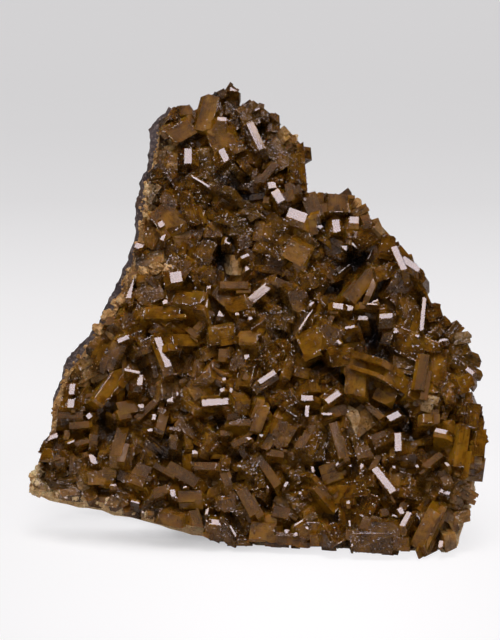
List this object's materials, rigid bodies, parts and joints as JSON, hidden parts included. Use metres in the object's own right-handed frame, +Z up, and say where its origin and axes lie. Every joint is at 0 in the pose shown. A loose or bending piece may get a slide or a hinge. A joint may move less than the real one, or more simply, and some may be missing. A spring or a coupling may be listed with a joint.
{
  "type": "barite crystal cluster",
  "caption": "Free-standing mineral specimen: thick tabular brown barite crystals grown together on a pale vein layer over dark rock, with a flat foot.",
  "frame": {"origin": "middle of the flat foot on which the rock rests", "axes": "+Z up, -Y towards the viewer, out of the crystal face, +X to the viewer's right"},
  "size_m": [0.1632, 0.0769, 0.1611],
  "materials": {
    "rock": "matte",
    "vein": "matte",
    "barite": "gloss"
  },
  "bodies": {
    "root": {"host_rock": "rock", "pale_seam": "vein", "barite_crystals": "barite"}
  },
  "joints": []
}
